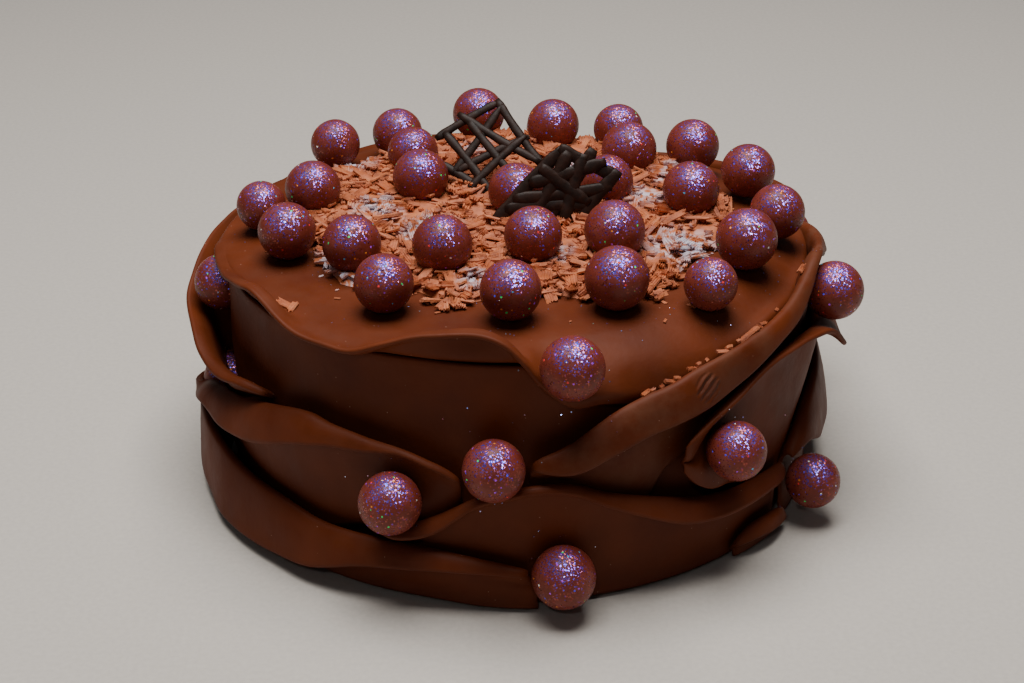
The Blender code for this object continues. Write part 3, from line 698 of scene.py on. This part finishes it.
LAYER = 0.13  # how much each line lies over the one before
RUN_ON = 1.2  # how far a line runs past its crossing
HALF_THICK = 0.85
BLUNT_END = (0.65, 0.95, 1.05, 1.03, 1)  # share of its thickness, from the tip inwards
count, sides = 16, 12  # sections of a line, and corners of a section
for name, (foot, lean, turn, wide, bars) in LATTICES.items():
    stand = Euler((0, 0, math.radians(turn))).to_matrix() @ Euler((math.radians(lean), 0, 0)).to_matrix()
    stand = np.array(stand)
    verts, faces = [], []
    for i, (u0, v0, u1, v1) in enumerate(bars):
        first, last = np.array((u0, v0, LAYER * i)), np.array((u1, v1, LAYER * i))
        ahead = (last - first) / np.linalg.norm(last - first)
        side = np.array((-ahead[1], ahead[0], 0))
        first, last = first - ahead * RUN_ON, last + ahead * RUN_ON
        for s in range(count):
            t = s / (count - 1)
            end = min(t, 1 - t) * (count - 1)
            blunt = BLUNT_END[min(4, int(end))]
            width = wide / 2 * (1 + 0.06 * math.sin(5 * t * math.pi + i)) * blunt
            bow = 0.5 * math.sin(t * math.pi) * rng.uniform(0.9, 1.1)
            middle = first + (last - first) * t + side * bow * (-1) ** i
            for k in range(sides):
                angle = 2 * math.pi * k / sides
                level = HALF_THICK * blunt * math.sin(angle)
                verts.append(middle + side * width * math.cos(angle) + (0, 0, level))
        base = i * count * sides
        for s in range(count - 1):
            a, b = base + s * sides, base + (s + 1) * sides
            faces += [(a + k, a + (k + 1) % sides, b + (k + 1) % sides, b + k) for k in range(sides)]
        faces.append(tuple(base + k for k in reversed(range(sides))))
        faces.append(tuple(base + (count - 1) * sides + k for k in range(sides)))
    lattice = mesh_from("piped_" + name, np.array(verts) @ stand.T + foot, faces, piped)
    fit(lattice, name)

# Glittered balls
# Malted milk centres coated in milk chocolate and rolled in edible glitter, then set on the
# heap's edge and pressed into the strips.

# Edible glitter in a sugar glaze over milk chocolate: reddish brown with flat metallic flecks
# of 0.2 mm, drawn at 0.4 mm so that they show, each tilted its own way. They are brown and
# rose below. On the upper front, where the lamp's highlight falls, a painted highlight packs
# the flecks closer, turns them violet and blue and lays a painted violet sheen on the glaze.
# A few larger sparks, 0.8 mm across, are coloured glitter painted as bright as glints, so they
# keep their bright colours at any angle.
# The last stops, violet to pale blue, are the colours of the painted highlight
FINE_HUES = [(0.0, "8c4434"), (0.26, "a04a44"), (0.4, "8a3f6a"), (0.46, "b05c4c"), (0.58, "7a4ab4"),
             (0.64, "5a58e0"), (0.74, "b06a9c"), (0.8, "8c70f0"), (0.92, "b4a4ff")]
SPARK_HUES = [(0.0, "5a5cff"), (0.3, "c05cff"), (0.5, "ff4a4a"), (0.64, "ff9a3c"), (0.76, "3cff8a"),
              (0.86, "5cc8ff"), (0.94, "ffffff")]
glittered, tree, shader = start_material("glittered chocolate glaze")
local = add(tree, "TexCoord", {})
own = add(tree, "ObjectInfo", {})  # a different number for each ball, so no two look alike
spot = add(tree, "VectorMath", {0: (local, "Object"), 1: (own, "Random")}, operation="ADD")
shape = add(tree, "NewGeometry", {})
# Painted highlight: the side facing up and to the front, where the lamp's highlight falls
facing = add(
    tree, "VectorMath", {0: (shape, "Normal"), 1: (0.0, -0.52, 0.85)}, operation="DOT_PRODUCT"
)
painted_highlight = add(
    tree, "MapRange",
    {"Value": (facing, "Value"), "From Min": 0.55, "From Max": 1.0, "To Min": 0.16, "To Max": 0.64},
    interpolation_type="SMOOTHSTEP",
)
blotch = add(tree, "TexNoise", {"Vector": (spot, "Vector"), "Scale": 1 / 0.0065, "Detail": 3.0})
thick = add(
    tree, "MapRange",
    {"Value": (blotch, "Fac"), "From Min": 0.4, "From Max": 0.58, "To Min": 0.55, "To Max": 1.0},
)
# Fleck density: random blotches times the painted highlight
blotch_and_highlight = add(tree, "Math", {0: (painted_highlight, "Result"), 1: (thick, "Result")}, operation="MULTIPLY")
flecks = add(tree, "TexVoronoi", {"Vector": (spot, "Vector"), "Scale": 1 / 0.0004})
chance = add(tree, "SeparateColor", {"Color": (flecks, "Color")})
is_fleck = add(tree, "Math", {0: (chance, "Red"), 1: (blotch_and_highlight, "Value")}, operation="LESS_THAN")
base_hue = add(tree, "Math", {0: (chance, "Green"), 1: 0.55}, operation="MULTIPLY")
# The painted highlight turns the flecks there violet and blue
highlight_hue = add(
    tree, "Math", {0: (painted_highlight, "Result"), 1: 0.7, 2: (base_hue, "Value")}, operation="MULTIPLY_ADD"
)
hue = add(tree, "ValToRGB", {"Fac": (highlight_hue, "Value")}, stops=FINE_HUES)
hue.color_ramp.interpolation = "CONSTANT"
glaze = add(
    tree, "ValToRGB", {"Fac": (blotch, "Fac")},
    stops=[(0.35, "6c2a19"), (0.55, "793320"), (0.7, "7f3c2c")],
)
# Painted violet sheen over the glaze where the highlight falls
dust_and_sheen_veil = add(tree, "Math", {0: (blotch_and_highlight, "Value"), 1: 0.15}, operation="MULTIPLY")
painted_sheen_glaze = add(
    tree, "Mix", {0: (dust_and_sheen_veil, "Value"), 6: (glaze, "Color"), 7: linear("6f4a94")}, data_type="RGBA"
)
fine_coat = add(
    tree, "Mix", {0: (is_fleck, "Value"), 6: (painted_sheen_glaze, 2), 7: (hue, "Color")}, data_type="RGBA"
)
# Sparks: coloured glitter painted as bright as glints, not metal, so they shine at any angle
sparks = add(tree, "TexVoronoi", {"Vector": (spot, "Vector"), "Scale": 1 / 0.0019})
which = add(tree, "SeparateColor", {"Color": (sparks, "Color")})
rare = add(tree, "Math", {0: (which, "Red"), 1: 0.3}, operation="LESS_THAN")
dot = add(tree, "Math", {0: (sparks, "Distance"), 1: 0.2}, operation="LESS_THAN")
is_spark = add(tree, "Math", {0: (rare, "Value"), 1: (dot, "Value")}, operation="MULTIPLY")
glitter_and_glint_hue = add(tree, "ValToRGB", {"Fac": (which, "Green")}, stops=SPARK_HUES)
glitter_and_glint_hue.color_ramp.interpolation = "CONSTANT"
coat = add(
    tree, "Mix", {0: (is_spark, "Value"), 6: (fine_coat, 2), 7: (glitter_and_glint_hue, "Color")}, data_type="RGBA"
)
flake = add(tree, "Math", {0: (is_fleck, "Value"), 1: (is_spark, "Value")}, operation="MAXIMUM")
fine_only = add(tree, "Math", {0: (flake, "Value"), 1: (is_spark, "Value")}, operation="SUBTRACT")
metal = add(tree, "Math", {0: (fine_only, "Value"), 1: 0.65}, operation="MULTIPLY")
polish = add(
    tree, "MapRange", {"Value": (flake, "Value"), "To Min": 0.42, "To Max": 0.24}
)
centred = add(
    tree, "VectorMath", {0: (flecks, "Color"), 1: (0.5, 0.5, 0.5)}, operation="SUBTRACT"
)
tilt = add(tree, "Math", {0: (flake, "Value"), 1: 0.8}, operation="MULTIPLY")
leaning = add(
    tree, "VectorMath", {0: (centred, "Vector"), "Scale": (tilt, "Value")}, operation="SCALE"
)
grit = add(tree, "Bump", {"Height": (chance, "Blue"), "Strength": 0.15, "Distance": 0.0001})
tipped = add(
    tree, "VectorMath", {0: (grit, "Normal"), 1: (leaning, "Vector")}, operation="ADD"
)
aim = add(tree, "VectorMath", {0: (tipped, "Vector")}, operation="NORMALIZE")
tree.links.new(coat.outputs[2], shader.inputs["Base Color"])
tree.links.new(metal.outputs["Value"], shader.inputs["Metallic"])
tree.links.new(polish.outputs["Result"], shader.inputs["Roughness"])
tree.links.new(aim.outputs["Vector"], shader.inputs["Normal"])
shader.inputs["IOR"].default_value = 1.46
shader.inputs["Specular IOR Level"].default_value = 0.3


def coated_ball(name, diameter, seed):
    """A ball with the slight lumps of a hand-rolled coating."""
    rings, segments = 28, 48
    verts = [(0, 0, 0.5)]
    for r in range(1, rings):
        polar_angle = math.pi * r / rings
        for s in range(segments):
            turn = 2 * math.pi * s / segments
            verts.append((
                0.5 * math.sin(polar_angle) * math.cos(turn),
                0.5 * math.sin(polar_angle) * math.sin(turn),
                0.5 * math.cos(polar_angle),
            ))
    verts.append((0, 0, -0.5))
    faces = []
    for s in range(segments):
        n = (s + 1) % segments
        faces.append((0, 1 + s, 1 + n))
        for r in range(rings - 2):
            a, b = 1 + r * segments, 1 + (r + 1) * segments
            faces.append((a + s, b + s, b + n, a + n))
        last = 1 + (rings - 2) * segments
        faces.append((last + s, len(verts) - 1, last + n))
    round_points = np.array(verts) * diameter
    lumps = 1 + 0.006 * ripple(round_points, 6, seed)[:, None]
    return mesh_from(name, round_points * 0.994 * lumps, faces, glittered)


for group, balls in (("top", top_balls), ("side", side_balls)):
    for i, (centre, diameter) in enumerate(balls, 1):
        ball = coated_ball(f"glittered_{group}_{i:02d}", diameter, i + 50)
        ball.location = Vector(centre) * MM
        fit(ball, f"ball_{group}_{i:02d}")

# Strewn crumbs and loose glitter
# Bits of flake that rolled off the heap, some lodged behind the crest of the right roll, and
# glitter that fell from the balls on to the sheets round them.
STRAYS = 120  # tries at a crumb near the heap; the balls keep some off
LOOSE_FLECKS = 16  # tries at a fleck of glitter round each ball
SHOULDER = 88  # above this height glitter falls on the top, below it on the side
RIM = 96  # strays stay inside this radius
CREST_TO_CRUMB = 1.7  # how far behind the crest of the right roll its crumbs lie


def tree_of(pieces):
    """Search tree over the pieces' meshes, in millimetres."""
    verts, faces = [], []
    for piece in pieces:
        base = len(verts)
        verts += [tuple(v.co / MM) for v in piece.data.vertices]
        faces += [tuple(base + i for i in p.vertices) for p in piece.data.polygons]
    return BVHTree.FromPolygons(verts, faces)


draped = tree_of(sheets)
places = []
for azimuth, length in [(23.6, 3.6), (24.8, 2.2), (26.5, 1.6), (28.3, 4.2), (29.6, 2), (32.6, 3.4),
                        (34.2, 1.6), (36, 1.2), (39.4, 4.6), (41, 2.4), (43.5, 1.2), (46.4, 7.5),
                        (48.9, 3.2), (50.2, 2.4), (55, 1.3), (66, 5)]:
    crest_r, crest_z = along(STRIPS["right_roll"], azimuth)[2:4]
    middle = polar(azimuth, crest_r - CREST_TO_CRUMB, crest_z - 0.1)
    turn = (rng.gauss(0, 0.2), rng.gauss(0, 0.2), math.radians(azimuth) + rng.gauss(0, 0.2))
    places.append((middle, turn, (length, 1.2 + 0.15 * length, 1.5)))
for x, y, length in [(-78, -63, 7), (-75, -66, 5), (-25, -72, 2), (62, -68, 3), (88, -8, 2.5),
                     (52, -78, 2), (-60, -60, 2), (20, -80, 1.5), (-88, -20, 2), (5, -70, 2.5)]:
    hit = draped.ray_cast(Vector((x, y, 120)), Vector((0, 0, -1)))[0]
    turn = (rng.gauss(0, 0.15), rng.gauss(0, 0.15), rng.uniform(0, 6.3))
    places.append((np.array(hit), turn, (length, length * 0.45, min(1.6, length * 0.35))))
for _ in range(STRAYS):
    azimuth = rng.uniform(0, 360)
    radius = along(edge_ring, azimuth)[0] + rng.expovariate(1 / 3.5)
    x, y, _ = polar(azimuth, radius, 0)
    if radius < RIM and clear_of_balls(x, y, 1.0):
        hit = draped.ray_cast(Vector((x, y, 120)), Vector((0, 0, -1)))[0]
        turn = (rng.gauss(0, 0.1), rng.gauss(0, 0.1), rng.uniform(0, 6.3))
        places.append((np.array(hit), turn, (rng.uniform(0.8, 2.4), rng.uniform(0.6, 1.1), 0.5)))
verts, faces = strew(places)
strays = mesh_from("strewn_crumbs", verts, faces, flaky, smooth=False)
fit(strays, None)

# Edible glitter: flat hexagons of coloured film, mirror bright, 0.2 mm across in life and
# drawn at 0.3 to 0.6 mm so that they show.
films = []
for name, code in (("violet", "6f55dd"), ("blue", "3f7cf5"), ("rose", "d0506e"),
                   ("green", "3cbf70"), ("silver", "dcdcea")):
    film, tree, shader = start_material(name + " glitter film")
    spot = add(tree, "TexCoord", {})
    shift = add(tree, "TexNoise", {"Vector": (spot, "Object"), "Scale": 1 / 0.002})
    dim = add(
        tree, "Mix", {0: (shift, "Fac"), 6: linear(code), 7: linear("cfd4f4")}, data_type="RGBA"
    )
    tree.links.new(dim.outputs[2], shader.inputs["Base Color"])
    shader.inputs["Metallic"].default_value = 0.8
    shader.inputs["Roughness"].default_value = 0.2
    films.append(film)
verts, faces, kinds = [], [], []
for centre, diameter in side_balls + top_balls:
    centre = Vector(centre)
    for _ in range(LOOSE_FLECKS):
        aim = Vector((rng.gauss(0, 1), rng.gauss(0, 1), rng.gauss(0, 1))).normalized()
        start = centre + aim * (diameter / 2 + rng.expovariate(1 / 4.0) + 1)
        inward = Vector((0, 0, -1))
        if start.z < SHOULDER:
            inward = -Vector((start.x, start.y, 0)).normalized()
        outside = start - inward * 12
        hit, normal = draped.ray_cast(outside, inward)[:2]
        if not hit or (hit - centre).length < diameter / 2:
            continue
        normal = normal if normal.dot(inward) < 0 else -normal
        lean = (normal + 0.25 * Vector((rng.gauss(0, 1), rng.gauss(0, 1), rng.gauss(0, 1)))).normalized()
        flat = lean.orthogonal().normalized()
        cross = lean.cross(flat)
        size = rng.uniform(0.14, 0.28)
        base = len(verts)
        for level in (0.12, 0.02):
            for k in range(6):
                angle = math.pi * k / 3
                corner = flat * math.cos(angle) + cross * math.sin(angle)
                verts.append(hit + normal * level + size * corner)
        faces.append(tuple(base + k for k in range(6)))
        faces.append(tuple(base + 6 + k for k in reversed(range(6))))
        faces += [(base + k, base + 6 + k, base + 6 + (k + 1) % 6, base + (k + 1) % 6) for k in range(6)]
        kinds += [rng.choices(range(5), (4, 4, 2, 1, 3))[0]] * 8
loose = mesh_from("loose_glitter", [tuple(v) for v in verts], faces, films[0], smooth=False)
for film in films[1:]:
    loose.data.materials.append(film)
for face, kind in zip(loose.data.polygons, kinds):
    face.material_index = kind
fit(loose, None)

# Floor, light and camera
# A plain pale floor, a large soft lamp overhead and a weak one from the front.

ground = bpy.data.meshes.new("floor")
ground.from_pydata([(-3, -3, 0), (3, -3, 0), (3, 3, 0), (-3, 3, 0)], [], [(0, 1, 2, 3)])
floor = bpy.data.objects.new("floor", ground)
floor.location.z = -0.0002
bpy.context.scene.collection.objects.link(floor)
matt, tree, shader = start_material("pale matt floor")
spot = add(tree, "TexCoord", {})
tooth = add(tree, "TexNoise", {"Vector": (spot, "Object"), "Scale": 1 / 0.002, "Detail": 2.0})
plain = add(tree, "ValToRGB", {"Fac": (tooth, "Fac")}, stops=[(0.3, "bfb9b2"), (0.7, "c6c0b9")])
tree.links.new(plain.outputs["Color"], shader.inputs["Base Color"])
shader.inputs["Roughness"].default_value = 0.8
ground.materials.append(matt)

world = bpy.context.scene.world or bpy.data.worlds.new("World")
bpy.context.scene.world = world
world.use_nodes = True
world.node_tree.nodes["Background"].inputs["Color"].default_value = (0.86, 0.88, 0.92, 1)
world.node_tree.nodes["Background"].inputs["Strength"].default_value = 0.05
for name, place, size, power, colour in (
    ("overhead softbox", (-0.02, 0.0, 1.1), 0.75, 19.5, (1.0, 0.97, 0.93)),
    ("front lamp", (-0.15, -1.2, 0.95), 0.04, 0.9, (1.0, 0.98, 0.97)),
):
    lamp = bpy.data.lights.new(name, "AREA")
    lamp.size = size
    lamp.energy = power
    lamp.color = colour
    holder = bpy.data.objects.new(name, lamp)
    holder.location = place
    holder.rotation_euler = (Vector((0, 0, 0.06)) - Vector(place)).to_track_quat("-Z", "Y").to_euler()
    bpy.context.scene.collection.objects.link(holder)

# Place, turn and lens of the camera that took the photo
eye = bpy.data.cameras.new("camera")
eye.lens = 73.26
eye.sensor_width = 36
camera = bpy.data.objects.new("camera", eye)
camera.location = (0.004, -0.70708, 0.40708)
camera.rotation_euler = [math.radians(a) for a in (62.831, 0.741, -0.037)]
bpy.context.scene.collection.objects.link(camera)
bpy.context.scene.camera = camera
